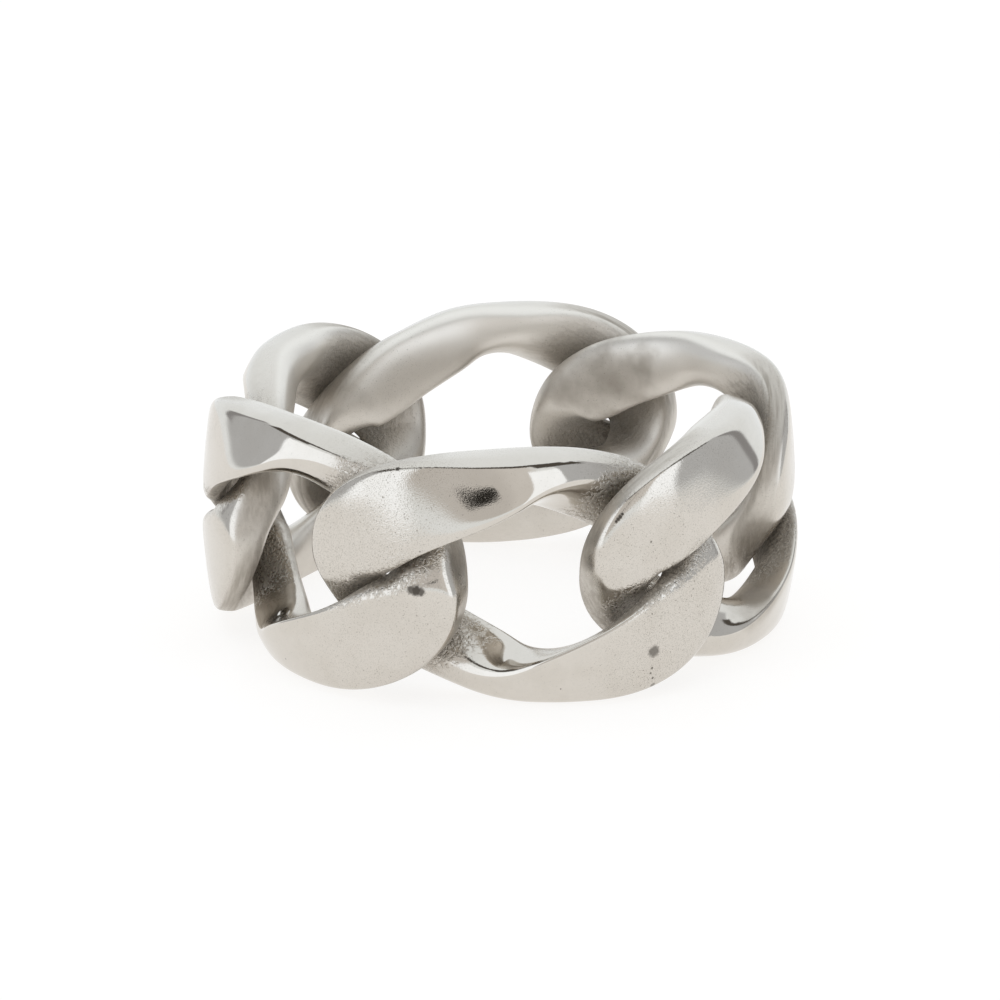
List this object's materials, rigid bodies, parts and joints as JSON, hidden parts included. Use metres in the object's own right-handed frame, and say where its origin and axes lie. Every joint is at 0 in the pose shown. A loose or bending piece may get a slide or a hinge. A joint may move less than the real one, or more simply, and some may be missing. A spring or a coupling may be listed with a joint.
{
  "type": "chain link ring",
  "caption": "Stiff finger ring made as a band of interlocked, twisted curb chain links in worn satin silver.",
  "frame": {"origin": "on the finger hole's axis, at the plane the band's lower edge rests on", "axes": "+Z along the finger hole, -Y towards the middle of link_1; the links are numbered anticlockwise seen from above"},
  "size_m": [0.0266, 0.026, 0.0114],
  "materials": {
    "silver": "worn satin silver"
  },
  "bodies": {
    "root": {"link_1": "silver", "link_2": "silver", "link_3": "silver", "link_4": "silver", "link_5": "silver", "link_6": "silver"}
  },
  "joints": []
}
